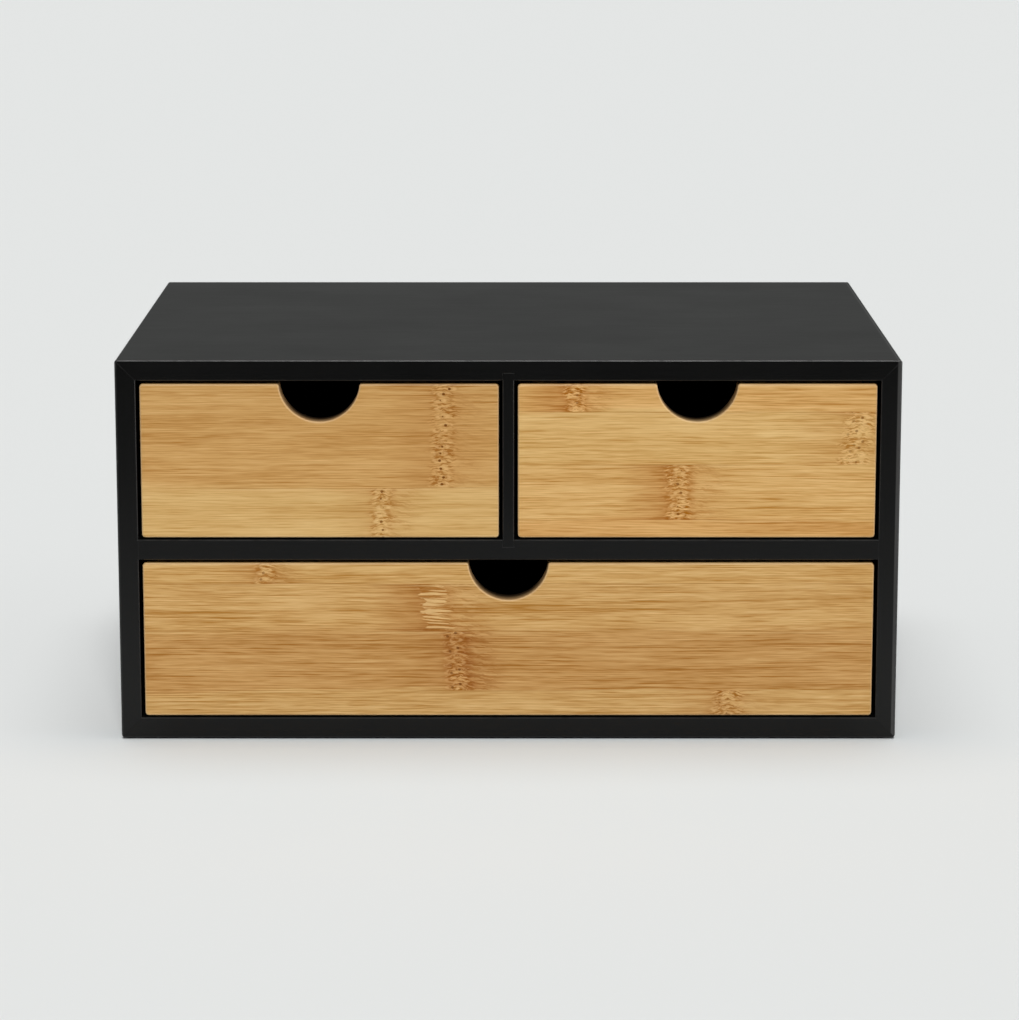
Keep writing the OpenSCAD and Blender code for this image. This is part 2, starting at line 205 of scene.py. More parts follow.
class Shader:
    """The nodes of one material or of the world."""

    def __init__(self, tree: bpy.types.NodeTree) -> None:
        """Starts from no nodes.

        Args:
            tree: The node tree that everything is added to.
        """
        self.tree = tree
        tree.nodes.clear()

    def add(self, kind: str, settings: dict[str, Any], sockets: Sockets) -> bpy.types.Node:
        """Adds a node.

        Args:
            kind: Its Blender type.
            settings: Its properties, such as a Math node's operation, which are set first.
            sockets: The value or the link of each input socket, by name or number.

        Returns:
            The node.
        """
        node = self.tree.nodes.new(kind)
        for name, value in settings.items():
            setattr(node, name, value)
        for key, value in sockets.items():
            socket = node.inputs[key]
            if isinstance(value, Link):
                self.tree.links.new(value.socket, socket)
            elif socket.type == "RGBA" and len(value) == 3:
                socket.default_value = (*value, 1.0)
            else:
                socket.default_value = value
        return node

    def blended(self, base: Paint, other: Paint, share: Term, blend: str = "MIX") -> Colour:
        """Blends two colours through a Mix node.

        Args:
            base: The colour at a share of 0.
            other: The colour at a share of 1.
            share: How much of the other colour.
            blend: The node's way of blending.

        Returns:
            The blended colour.
        """
        made = self.add(
            "ShaderNodeMix",
            {"data_type": "RGBA", "blend_type": blend, "clamp_factor": True},
            {0: share, 6: base, 7: other},
        )
        return Colour(self, made.outputs[2])

    def place(self) -> Triple:
        """The place on the object, in millimetres."""
        made = self.add("ShaderNodeTexCoord", {}, {})
        return Triple(self, made.outputs["Object"]) * (1 / MM)

    def joined(self, x: Term, y: Term, z: Term) -> Triple:
        """A place made of three numbers."""
        made = self.add("ShaderNodeCombineXYZ", {}, {0: x, 1: y, 2: z})
        return Triple(self, made.outputs[0])

    def noise(self, at: Triple, detail: float = 2.0, roughness: float = 0.5) -> Number:
        """Soft noise about a half.

        Args:
            at: The place, scaled so that one unit is about one lump.
            detail: Octaves of finer noise.
            roughness: The share of each finer octave.

        Returns:
            The noise, mostly from 0.2 to 0.8.
        """
        made = self.add(
            "ShaderNodeTexNoise",
            {"noise_dimensions": "3D"},
            {"Vector": at, "Scale": 1.0, "Detail": detail, "Roughness": roughness},
        )
        return Number(self, made.outputs[0])

    def cells(self, at: Triple, scatter: float = 1.0) -> Number:
        """The distance to the nearest of many scattered points.

        Args:
            at: The place, scaled so that one unit is about one cell.
            scatter: How far the points leave a square grid, from 0 to 1.

        Returns:
            The distance, in cells.
        """
        made = self.add(
            "ShaderNodeTexVoronoi", {}, {"Vector": at, "Scale": 1.0, "Randomness": scatter}
        )
        return Number(self, made.outputs["Distance"])

    def grained(
        self, at: Triple, grain: Axis, across: float, along: float,
        detail: float, roughness: float = 0.5,
    ) -> Number:
        """Noise drawn out along the grain of a piece.

        Args:
            at: The place, in millimetres.
            grain: The way that the grain runs.
            across: Lumps for each millimetre across the grain.
            along: Lumps for each millimetre along it.
            detail: Octaves of finer noise.
            roughness: The share of each finer octave.

        Returns:
            The noise, about a half.
        """
        scale = [across] * 3
        scale[grain.value] = along
        return self.noise(at * scale, detail, roughness)

    def facing(self, radius: float) -> Triple:
        """The way that the surface faces, with sharp edges softened over a radius in metres."""
        made = self.add("ShaderNodeBevel", {"samples": 6}, {"Radius": radius})
        return Triple(self, made.outputs[0])

    def arris(self, softened: Triple) -> Number:
        """How far a surface turns away from the faces of its board, for rubbed edges.

        Args:
            softened: The way that the surface faces.

        Returns:
            0 on the flat faces, rising to 1 along eased and sharp edges.
        """
        flat, turned = 0.995, 0.80
        x, y, z = softened.parts()
        return abs(x).largest(abs(y)).largest(abs(z)).ramp(flat, turned)

    def relief(self, height: Number, depth: float, softened: Optional[Triple] = None) -> Triple:
        """Raises a surface by a height.

        Args:
            height: The height, as a share of depth.
            depth: The full depth, in metres.
            softened: The way that the surface faces, if its edges are softened.

        Returns:
            The way that the raised surface faces.
        """
        sockets: Sockets = {"Strength": 1.0, "Distance": depth, "Height": height}
        if softened is not None:
            sockets["Normal"] = softened
        made = self.add("ShaderNodeBump", {}, sockets)
        return Triple(self, made.outputs[0])


@dataclass(frozen=True)
class Finish:
    """A finish: how the nodes of one material are made.

    Attributes:
        name: The material's name.
        slot: The record's material slot that it is for; not used.
    """

    name: str
    slot: str

    def paint(self, shader: Shader) -> Sockets:
        """Makes what the finish puts on the surface shader's sockets."""
        raise NotImplementedError

    def material(self) -> bpy.types.Material:
        """Makes the material, or finds it if it is made already.

        Returns:
            The material.
        """
        found = bpy.data.materials.get(self.name)
        if found is not None:
            return found
        material = bpy.data.materials.new(self.name)
        material.use_nodes = True
        shader = Shader(material.node_tree)
        surface = shader.add("ShaderNodeBsdfPrincipled", {}, self.paint(shader))
        shader.add("ShaderNodeOutputMaterial", {}, {0: Link(shader, surface.outputs[0])})
        return material


# ---------- finishes ----------


@dataclass(frozen=True)
class SatinLacquer(Finish):
    """Sprayed black lacquer on a board, rubbed a little along its edges, with painted highlights
    along some edges and a painted reflection on some boards.

    Attributes:
        grain: The way that the board's grain runs under the lacquer.
        base: The colour of the lacquer.
        rub_and_highlight_colour: The colour along rubbed edges, which also paints the highlights
            along the top and far right edges.
        gloss: The shader's specular level.
        roughness: The roughness of the flat faces.
        soft_edge: How far sharp edges are softened, in metres.
        painted_end_reflection: How much lighter the lacquer is painted towards the board's ends,
            as a painted reflection.
        rim_highlight: How strong the painted highlight is along the front and top edges at the far
            right.
    """

    grain: Axis = Axis.X
    base: Rgb = (0.0014, 0.0014, 0.0013)
    rub_and_highlight_colour: Rgb = (0.075, 0.074, 0.072)
    gloss: float = 0.30
    roughness: float = 0.33
    soft_edge: float = 0.00025
    painted_end_reflection: float = 0.0
    rim_highlight: float = 0.0

    def paint(self, shader: Shader) -> Sockets:
        """Makes the lacquer: cloudy roughness, a fine orange peel and faint grain.

        Args:
            shader: The shader that the nodes are added to.

        Returns:
            The value or link of each of the surface's sockets.
        """
        at = shader.place()
        x, y, z = at.parts()
        cloud = shader.noise(at * 0.02, 3.0)
        telegraph = shader.grained(at, self.grain, 0.16, 0.006, 3.0, 0.6)
        pores = shader.grained(at, self.grain, 1.6, 0.035, 2.0, 0.6)
        peel = shader.noise(at * 0.9, 1.0)
        specks = shader.cells(at * 0.22).ramp(0.07, 0.03)

        # Edges are rubbed pale near the top and hardly below, which also paints a highlight along
        # the top arrises; below, those that face up are dulled
        facing = shader.facing(self.soft_edge)
        _, _, up = facing.parts()
        edges = shader.arris(facing)
        rubbed = edges * shader.noise(at * 0.25, 3.0).ramp(0.25, 0.6)
        low, high = CASE_TOP - 6.4, CASE_TOP - 0.4
        top_rub_and_highlight = rubbed * z.ramp(low, high, 0.18, 1.0)
        sills = edges * up.ramp(0.25, 0.60) * z.ramp(high, low)
        # Painted highlight along the front and top edges at the far right
        rim = self._rim(x, y, z) * self.rim_highlight

        # Painted reflection: the lacquer is lighter towards the board's ends
        ends = abs(x).ramp(CASE_SIDE - 30.0, CASE_SIDE - 4.0) * self.painted_end_reflection
        dust = specks * 0.35 + cloud.ramp(0.45, 0.8) * 0.12
        colour = shader.blended(self.base, (0.004, 0.004, 0.0038), ends)
        # Pale along rubbed edges near the top, partly a painted highlight, and along the painted
        # highlight at the far right
        colour = colour.towards(self.rub_and_highlight_colour, (top_rub_and_highlight * 0.8).largest(rim * (cloud + 0.5)))
        colour = colour.towards((0.006, 0.006, 0.0058), dust)
        rough = self.roughness + (cloud - 0.5) * 0.10 + (pores - 0.5) * 0.08
        grain = telegraph * 0.4 + pores.ramp(0.38, 0.62) * 0.25
        return {
            "Base Color": colour,
            "Roughness": rough - rubbed * 0.08 + sills * 0.45,
            "Specular IOR Level": self.gloss,
            "Normal": shader.relief(peel * 0.45 + grain + specks * 0.12, 0.000022, facing),
        }

    def _rim(self, x: Number, y: Number, z: Number) -> Number:
        """A painted highlight along the front and top edges at the far right.

        Args:
            x: The place across the case.
            y: The place from front to rear.
            z: The height.

        Returns:
            How strong the painted highlight is.
        """
        front = y.ramp(CASE_FRONT + 1.0, CASE_FRONT + 0.3)
        top = z.ramp(CASE_TOP - 0.7, CASE_TOP - 0.3)
        strip = x.ramp(CASE_SIDE - 2.2, CASE_SIDE - 1.7)
        # A dimmer band near the outermost edge, within the painted highlight
        darker = x.bell(0.5, CASE_SIDE - 0.75) * 0.4
        return ((strip - darker) * front).largest(x.bell(0.5, CASE_SIDE - 1.8) * top * 0.9)


@dataclass(frozen=True)
class MattBoard(Finish):
    """Matt black paint rolled on thin board, with the grain of the board showing through.

    Attributes:
        grain: The way that the board's grain runs.
        base: The colour of the paint.
        bare: The colour where edges are rubbed.
    """

    grain: Axis = Axis.Y
    base: Rgb = (0.0048, 0.0048, 0.0047)
    bare: Rgb = (0.030, 0.026, 0.021)

    def paint(self, shader: Shader) -> Sockets:
        """Makes the paint: fine streaks along the grain, and rubbed edges.

        Args:
            shader: The shader that the nodes are added to.

        Returns:
            The value or link of each of the surface's sockets.
        """
        at = shader.place()
        streaks = shader.grained(at, self.grain, 1.1, 0.03, 4.0, 0.6)
        cloud = shader.noise(at * 0.03, 3.0)
        facing = shader.facing(0.0003)
        rubbed = shader.arris(facing) * shader.noise(at * 0.35, 3.0).ramp(0.40, 0.62)
        pale = streaks.ramp(0.42, 0.72) * 0.6
        colour = shader.blended(self.base, (0.0105, 0.0102, 0.0098), pale)
        colour = colour.towards(self.bare, rubbed * 0.5)
        rough = 0.56 + (cloud - 0.5) * 0.12 + (streaks - 0.5) * 0.14
        height = streaks * 0.8 + shader.noise(at * 1.4, 2.0) * 0.3
        return {
            "Base Color": colour,
            "Roughness": rough,
            "Specular IOR Level": 0.28,
            "Normal": shader.relief(height, 0.00005, facing),
        }


@dataclass(frozen=True)
class Streak:
    """Noise drawn out along the fibres, in lumps for each millimetre.

    Attributes:
        along: How dense it is along the fibres.
        inward: How dense it is into the board.
        up: How dense it is up the front.
        start: Where in the noise it starts, so that no two streaks are alike.
        detail: Octaves of finer noise.
        roughness: The share of each finer octave.
    """

    along: float
    inward: float
    up: float
    start: float = 0.0
    detail: float = 0.0
    roughness: float = 0.5

    def over(
        self, shader: Shader, x: Number, y: Number, z: Number, shift: Term = 0.0
    ) -> Number:
        """Makes the noise.

        Args:
            shader: The shader that the nodes are added to.
            x: The place along the fibres.
            y: The place into the board.
            z: The place up the front.
            shift: What is added to the start.

        Returns:
            The noise, about a half.
        """
        height = z * self.up + (self.start + shift)
        at = shader.joined(x * self.along, y * self.inward, height)
        return shader.noise(at, self.detail, self.roughness)


# How the edge of a joint mark strays, how its flecks come and go, and how it throws the fibres
RAGGED_EDGE = Streak(0.04, 0.1, 0.62, detail=2.0, roughness=0.6)
PATCHES = Streak(0.03, 0.1, 0.13, detail=1.0)
THROW = Streak(0.30, 0.3, 0.40, detail=2.0, roughness=0.6)
# Broad changes of tone and level
DRIFT = Streak(0.006, 0.10, 0.025, detail=1.0)
BROAD_TONES = Streak(0.006, 0.08, 0.13, detail=2.0, roughness=0.55)
CLOUDS = Streak(0.026, 0.1, 0.10, detail=2.0)
WANDER = Streak(0.018, 0.05, 0.0, start=3.3, detail=2.0)
# Fibres all over the front
LONG_FIBRES = Streak(0.014, 0.5, 1.60, detail=3.0, roughness=0.65)
SHORT_FIBRES = Streak(0.050, 0.7, 1.90, start=17.0, detail=2.0, roughness=0.6)
FINE_FIBRES = Streak(0.125, 0.9, 2.8, start=31.0, detail=1.0)
THIN_LINES = Streak(0.013, 0.6, 1.40, start=140.0)
DASHES = Streak(0.060, 0.9, 1.25, start=40.0)
# Fibres and strokes that show only at joint marks
FLECKS = Streak(0.34, 0.9, 1.45, start=90.0, detail=1.0)
FLARES = Streak(0.050, 0.6, 1.15, start=60.0, detail=2.0, roughness=0.6)
TICKS = Streak(0.130, 0.8, 1.15, start=75.0, detail=1.0)
RUNGS = Streak(0.05, 0.3, 1.20, start=12.0, detail=1.0)


@dataclass(frozen=True)
class Knot:
    """The mark of a bamboo joint across one strip.

    Attributes:
        x: Where its middle is, in millimetres.
        half: Half its width.
        lean: How far it moves along X for each millimetre up.
        pores: How strong the column of dark pores is.
        twin: How strong a second column of pores beside it is.
        flecks: How strong the short dark and pale flecks between the pores are.
        rungs: How strong the long pale dashes across the mark are.
        shade: How brown the whole mark is.
        left: How dark the fibres run into it from the left.
        right: How dark the fibres run into it from the right.
    """

    x: float
    half: float = 5.5
    lean: float = 0.0
    pores: float = 1.0
    twin: float = 0.0
    flecks: float = 1.0
    rungs: float = 0.0
    shade: float = 0.1
    left: float = 0.4
    right: float = 0.4


FAR_OFF = 5000.0
NO_KNOT = Knot(x=FAR_OFF, pores=0.0, flecks=0.0, shade=0.0, left=0.0, right=0.0)


@dataclass(frozen=True)
class Strip:
    """One of the bamboo strips that a front is glued up from.

    Attributes:
        top: The height of its upper edge, in millimetres.
        tone: How light it is, where 1 is plain.
        warm: How orange it is, where 0 is plain.
        figure: How strongly its fibres show.
        soft: Half the height over which its tone passes into that of the strip above.
        knot: The joint mark that it shows.
    """

    top: float
    tone: float = 1.0
    warm: float = 0.0
    figure: float = 0.80
    soft: float = 3.0
    knot: Knot = NO_KNOT


@dataclass(frozen=True)
class Mark:
    """A place on a front as seen from the joint mark of its strip.

    Attributes:
        run: The place along the fibres, shifted for each strip.
        off: The distance along X from the mark's middle.
        ragged: How far the mark's edge strays, about zero.
        throw: How far the mark throws the fibres, about zero.
        core: How strong the flecks are, which lie only on the mark.
        shade: How brown the mark makes the place.
        left: How dark the fibres are that run into the mark from the left.
        right: How dark the fibres are that run into it from the right.
    """

    run: Number
    off: Number
    ragged: Number
    throw: Number
    core: Number
    shade: Number
    left: Number
    right: Number


@dataclass(frozen=True)
class Bamboo(Finish):
    """Bamboo strips pressed flat and glued edge to edge, under a clear matt varnish.

    Attributes:
        strips: The strips, from the lowest up.
        seed: Moves the grain, so that no two fronts are alike.
        notch: Where the middle of the finger notch's round is, along X and up, in millimetres.
        plain: The colour between the fibres.
        pale: The lightest wood.
        fibre: The colour of the fibres.
        brown: The colour of the darkest fibres beside a joint mark.
        pore: The colour of the pores.
        pore_pitch: The distance from one pore to the next up a column.
        strip_shift: How far each strip's grain is moved from that of the strip below.
        lean_from: The height at which a leaning joint mark is at its own x.
        twin_off: How far the second column of pores is to the left of the first.
        glue_width: Half the width of a glue line.
        glue_step: How far below a glue line its pale edge is.
    """

    strips: tuple[Strip, ...] = ()
    seed: float = 0.0
    notch: tuple[float, float] = (0.0, 80.1)
    plain: Rgb = (0.648, 0.406, 0.150)
    pale: Rgb = (0.808, 0.569, 0.260)
    fibre: Rgb = (0.428, 0.200, 0.029)
    brown: Rgb = (0.345, 0.124, 0.003)
    pore: Rgb = (0.190, 0.060, 0.001)
    pore_pitch: float = 3.3
    strip_shift: float = 137.3
    lean_from: float = 90.0
    twin_off: float = 3.6
    glue_width: float = 0.40
    glue_step: float = 0.75

    def _pick(self, z: Number, values: Iterable[float], soft: bool = False) -> Term:
        """Gives each strip its own value.

        Args:
            z: The height, in millimetres.
            values: One value for each strip, from the lowest up.
            soft: Whether each value passes softly into the next, or changes at once.

        Returns:
            The value at that height.
        """
        steps = list(values)
        total: Term = steps[0]
        for strip, low, high in zip(self.strips, steps, steps[1:]):
            if high == low:
                continue
            if soft:
                start, end = strip.top - strip.soft, strip.top + strip.soft
                total = total + z.ramp(start, end, 0.0, high - low)
            else:
                total = total + (z > strip.top) * (high - low)
        return total

    def _glue_lines(self, z: Number, below: float = 0.0) -> Number:
        """Marks the joints between the strips.

        Args:
            z: The height.
            below: How far below each joint its line lies.

        Returns:
            One along each line, and otherwise zero.
        """
        lines = z * 0.0
        for strip in self.strips[:-1]:
            lines = lines.largest((z - (strip.top - below)).bell(self.glue_width))
        return lines

    def _mark(self, shader: Shader, x: Number, y: Number, z: Number) -> Mark:
        """Finds the joint mark of the strip that a place is in.

        Args:
            shader: The shader that the nodes are added to.
            x: The place across the front.
            y: The place into the board.
            z: The height.

        Returns:
            The place as seen from the mark.
        """
        knots = [strip.knot for strip in self.strips]
        shift = self._pick(z, (self.seed + self.strip_shift * i for i in range(len(knots))))
        run = x + shift
        ragged = RAGGED_EDGE.over(shader, x, y, z, shift) - 0.5
        throw = THROW.over(shader, run, y, z) - 0.5
        patches = PATCHES.over(shader, x, y, z, shift).ramp(0.36, 0.58, 0.62, 1.05)
        lean = (z - self.lean_from) * self._pick(z, (k.lean for k in knots))
        off = x - (self._pick(z, (k.x for k in knots)) + lean)
        reach = (off + ragged * 9.0) / self._pick(z, (k.half for k in knots))
        before = reach.ramp(-5.5, -1.0) * reach.ramp(0.2, -0.8)
        beyond = reach.ramp(5.0, 1.0) * reach.ramp(-0.2, 0.8)
        return Mark(
            run=run,
            off=off,
            ragged=ragged,
            throw=throw,
            core=abs(reach).ramp(1.35, 0.60) * self._pick(z, (k.flecks for k in knots)) * patches,
            shade=abs(reach).ramp(1.7, 0.8) * self._pick(z, (k.shade for k in knots)),
            left=before * self._pick(z, (k.left for k in knots)),
            right=beyond * self._pick(z, (k.right for k in knots)),
        )

    def _column(
        self, shader: Shader, off: Number, z: Number, phase: float
    ) -> tuple[Number, Number]:
        """Makes a column of pores, each with a pale stroke above and below it.

        Args:
            shader: The shader that the nodes are added to.
            off: The distance along X from the column's middle.
            z: The height.
            phase: Where the column starts, in pores.

        Returns:
            The pores and the pale strokes, each as 1 at its middle and 0 outside.
        """
        row = z / self.pore_pitch + (phase + self.seed)
        whole = row.floor()
        jog = shader.noise(shader.joined(whole * 5.71, whole * 3.37, 0.5), 0.0) - 0.5
        size = shader.noise(shader.joined(whole * 3.13, 7.7, whole * 4.31), 0.0)
        radius = size.ramp(0.36, 0.62, 0.12, 0.50)
        across = off - jog * 7.0
        along = (row - whole - 0.5 + jog * 0.9) * self.pore_pitch
        spot = radius * radius
        pores = (across * across * 0.75 + along * along).ramp(spot * 0.7, spot * 1.9, 1.0, 0.0)
        ring = across * across * 0.13 + along * along * 1.25
        return pores, ring.ramp(1.9, 0.9) * ring.ramp(0.2, 0.5)

    def _pores(self, shader: Shader, mark: Mark, z: Number) -> tuple[Number, Number]:
        """Makes the pores of the joint marks, in one column or two.

        Args:
            shader: The shader that the nodes are added to.
            mark: The joint mark of the strip that the place is in.
            z: The height.

        Returns:
            The pores and the pale strokes beside them.
        """
        strong = self._pick(z, (strip.knot.pores for strip in self.strips))
        twin = self._pick(z, (strip.knot.twin for strip in self.strips))
        first, first_pale = self._column(shader, mark.off, z, 0.0)
        second, second_pale = self._column(shader, mark.off + self.twin_off, z, 0.45)
        strokes = (first_pale * strong).largest(second_pale * twin) * mark.throw.ramp(-0.12, 0.06)
        return (first * strong).largest(second * twin), strokes

    def _rungs(self, shader: Shader, colour: Colour, mark: Mark, y: Number, z: Number) -> Colour:
        """Lays the long pale dashes across a joint mark, with brown between them.

        Args:
            shader: The shader that the nodes are added to.
            colour: The colour so far.
            mark: The joint mark of the strip that the place is in.
            y: The place into the board.
            z: The height.

        Returns:
            The colour with the dashes.
        """
        strong = self._pick(z, (strip.knot.rungs for strip in self.strips))
        rung = RUNGS.over(shader, mark.run, y, z + mark.off * 0.06)
        reach = abs(mark.off + mark.ragged * 12.0 + mark.throw * 7.0)
        rungs = reach.ramp(6.0, 4.8) * strong
        colour = colour.towards(self.brown, rung.ramp(0.52, 0.43) * rungs * 0.60)
        return colour.towards((0.84, 0.60, 0.28), rung.ramp(0.53, 0.60) * rungs * 0.75)

    def _toned(self, shader: Shader, colour: Colour, soft_z: Number) -> Colour:
        """Gives each strip its own warmth and tone.

        Args:
            shader: The shader that the nodes are added to.
            colour: The colour so far.
            soft_z: The height, wandering a little along the strips.

        Returns:
            The colour with its tone.
        """
        warm = self._pick(soft_z, (strip.warm for strip in self.strips), soft=True)
        tone = self._pick(soft_z, (strip.tone for strip in self.strips), soft=True)
        colour = colour.towards((0.9375, 0.718, 0.532), warm, "MULTIPLY")
        grey = Colour(shader, shader.joined(tone, tone, tone).socket)
        return colour.towards(grey, 1.0, "MULTIPLY")

    def _edged(self, colour: Colour, facing: Triple, x: Number, y: Number, z: Number) -> Colour:
        """Pales the eased edges, as sanded bamboo and as a painted highlight, and paints shade on
        the notch's cut, darkest towards the rear.

        Args:
            colour: The colour so far.
            facing: The way that the surface faces.
            x: The place across the front.
            y: The place into the board.
            z: The height.

        Returns:
            The colour with its edges.
        """
        _, forward, up = facing.parts()
        # Eased edges are paler, as sanded bamboo is, which also paints a highlight along them
        eased = abs(forward).ramp(0.10, 0.45) * abs(forward).ramp(0.998, 0.90)
        colour = colour.towards((0.82, 0.61, 0.36), eased * 0.35)
        notch_x, notch_z = self.notch
        right, above = x - notch_x, z - notch_z
        squared = right * right + above * above
        # Painted shade on the notch's cut, deepest where it faces up towards the rear
        cut = squared.ramp(350.0, 330.0) * abs(forward).ramp(0.70, 0.30)
        colour = colour.towards((0.36, 0.235, 0.140), cut * 0.5)
        notch_shade = cut * up.ramp(0.20, 0.85) * (y - CASE_FRONT).ramp(0.5, 9.0)
        return colour.towards((0.012, 0.007, 0.004), notch_shade * 0.97)

    def paint(self, shader: Shader) -> Sockets:
        """Makes the bamboo: straight fibres, joint marks, strips of different tones.

        Args:
            shader: The shader that the nodes are added to.

        Returns:
            The value or link of each of the surface's sockets.
        """
        x, y, z = shader.place().parts()
        mark = self._mark(shader, x, y, z)
        run, core = mark.run, mark.core

        # The fibres lie straight, drift slowly, and are thrown about only at a joint mark
        level = z + (DRIFT.over(shader, run, y, z) - 0.5) * 3.8 + mark.throw * core * 3.0
        slanted = z + abs(mark.off) * 0.15 + mark.throw * 2.2
        soft_z = z + (WANDER.over(shader, x, y, z, self.seed) - 0.5) * 9.0
        cloud = CLOUDS.over(shader, run, y, z) - 0.5
        dark = (
            (LONG_FIBRES.over(shader, run, y, level) - 0.5) * 2.9
            + (SHORT_FIBRES.over(shader, run, y, level) - 0.5) * 2.4
            + (FINE_FIBRES.over(shader, run, y, level) - 0.5) * 1.4
            + (BROAD_TONES.over(shader, run, y, level) - 0.5) * 1.3
            + cloud * 0.9
            + THIN_LINES.over(shader, run, y, level).ramp(0.64, 0.73) * 0.60
            + DASHES.over(shader, run, y, level).ramp(0.60, 0.74) * 0.45
        ) * self._pick(soft_z, (strip.figure for strip in self.strips), soft=True)
        colour = shader.blended(self.plain, self.fibre, dark).towards(self.pale, dark * -1.0)

        # Beside the joint marks: brown fibres on the left, short ticks on the right
        flare = FLARES.over(shader, run, y, level)
        tick = TICKS.over(shader, run, y, slanted)
        beside = mark.left * 0.9 + mark.right * 0.7
        colour = colour.towards((0.82, 0.69, 0.56), beside, "MULTIPLY")
        colour = colour.towards(self.brown, mark.left * flare.ramp(0.50, 0.62) * 0.60)
        colour = colour.towards(self.brown, mark.right * tick.ramp(0.53, 0.62) * 0.60)
        colour = colour.towards(self.pale, mark.right * tick.ramp(0.44, 0.36) * 0.35)

        # On the joint marks: shade, dark and pale flecks, rungs, pores with their strokes
        fleck = FLECKS.over(shader, run, y, slanted)
        pores, strokes = self._pores(shader, mark, z)
        colour = colour.towards((0.80, 0.62, 0.42), mark.shade, "MULTIPLY")
        colour = colour.towards(self.brown, fleck.ramp(0.525, 0.60) * core * 0.90)
        colour = colour.towards((0.76, 0.50, 0.205), fleck.ramp(0.45, 0.37) * core * 0.70)
        colour = self._rungs(shader, colour, mark, y, z)
        colour = colour.towards((0.80, 0.54, 0.24), strokes * 0.55)
        colour = colour.towards(self.pore, pores * 0.97)

        # The strips' tones, the glue lines, and the edges with their painted highlight and painted
        # shade
        colour = self._toned(shader, colour, soft_z)
        glue = self._glue_lines(z) * (cloud + 0.5).ramp(0.40, 0.60)
        paler = self._glue_lines(z, self.glue_step) * (cloud + 0.5).ramp(0.44, 0.62)
        colour = colour.towards((0.34, 0.145, 0.025), glue * 0.50)
        colour = colour.towards(self.pale, paler * 0.40)
        facing = shader.facing(0.0003)
        height = 0.6 - dark * 0.35 - pores * 0.9 - glue * 0.4
        return {
            "Base Color": self._edged(colour, facing, x, y, z),
            "Roughness": 0.46 + dark * 0.08 + cloud * 0.10 + pores * 0.2,
            "Specular IOR Level": 0.20,
            "Normal": shader.relief(height, 0.00005, facing),
        }


@dataclass(frozen=True)
class Beech(Finish):
    """Bare beech with its short flecks, for tongues and dowels.

    Attributes:
        grain: The way that the grain runs.
    """

    grain: Axis = Axis.Y

    def paint(self, shader: Shader) -> Sockets:
        """Makes the beech: rings, short dark flecks and a sawn surface.

        Args:
            shader: The shader that the nodes are added to.

        Returns:
            The value or link of each of the surface's sockets.
        """
        at = shader.place()
        ring = shader.grained(at, self.grain, 0.9, 0.015, 3.0, 0.6)
        fleck = shader.grained(at, self.grain, 3.2, 0.45, 1.0).ramp(0.62, 0.70)
        facing = shader.facing(0.0002)
        colour = shader.blended((0.70, 0.49, 0.27), (0.56, 0.34, 0.16), ring.ramp(0.42, 0.66))
        colour = colour.towards((0.34, 0.18, 0.08), fleck * 0.6)
        colour = colour.towards((0.78, 0.60, 0.38), shader.arris(facing) * 0.4)
        return {
            "Base Color": colour,
            "Roughness": 0.62 + (ring - 0.5) * 0.2,
            "Specular IOR Level": 0.3,
            "Normal": shader.relief(ring * 0.6 - fleck * 0.4, 0.00004, facing),
        }


@dataclass(frozen=True)
class FootFoam(Finish):
    """Dark closed-cell foam with a skin, scuffed where it stands."""

    def paint(self, shader: Shader) -> Sockets:
        """Makes the foam: small cells and a scuffed lower face.

        Args:
            shader: The shader that the nodes are added to.

        Returns:
            The value or link of each of the surface's sockets.
        """
        at = shader.place()
        cells = shader.cells(at * 3.4)
        cloud = shader.noise(at * 0.35, 3.0)
        facing = shader.facing(0.0002)
        scuffed = shader.arris(facing) * cloud.ramp(0.35, 0.6)
        colour = shader.blended((0.030, 0.030, 0.031), (0.060, 0.060, 0.062), cells.ramp(0.1, 0.6))
        colour = colour.towards((0.12, 0.12, 0.118), scuffed * 0.6)
        return {
            "Base Color": colour,
            "Roughness": 0.84 + (cloud - 0.5) * 0.2,
            "Specular IOR Level": 0.25,
            "Normal": shader.relief(cells, 0.00006, facing),
        }


@dataclass(frozen=True)
class BradSteel(Finish):
    """Drawn steel wire with a struck head, a little tarnished."""

    def paint(self, shader: Shader) -> Sockets:
        """Makes the steel: hammer marks, drawing lines and tarnish.

        Args:
            shader: The shader that the nodes are added to.

        Returns:
            The value or link of each of the surface's sockets.
        """
        at = shader.place()
        struck = shader.cells(at * 1.5).ramp(0.2, 0.7)
        drawn = shader.noise(at * 6.0, 2.0)
        tarnish = shader.noise(at * 0.6, 3.0).ramp(0.45, 0.68)
        facing = shader.facing(0.0001)
        rubbed = shader.arris(facing)
        colour = shader.blended((0.46, 0.46, 0.47), (0.20, 0.18, 0.16), tarnish * 0.7)
        colour = colour.towards((0.62, 0.62, 0.63), rubbed * 0.35)
        return {
            "Base Color": colour,
            "Roughness": 0.34 + tarnish * 0.25 + (drawn - 0.5) * 0.15,
            "Metallic": 1.0 - tarnish * 0.35,
            "Normal": shader.relief(struck * 0.6 + drawn * 0.4, 0.00002, facing),
        }


# ---------- sub-assemblies ----------


def dress(node: str, finish: Finish) -> None:
    """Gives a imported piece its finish.

    Args:
        node: The piece's name.
        finish: The finish that its material slots take.
    """
    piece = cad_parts[node]
    piece.data.materials.clear()
    piece.data.materials.append(finish.material())
    LOG.info("%s: %s", node, finish.name)


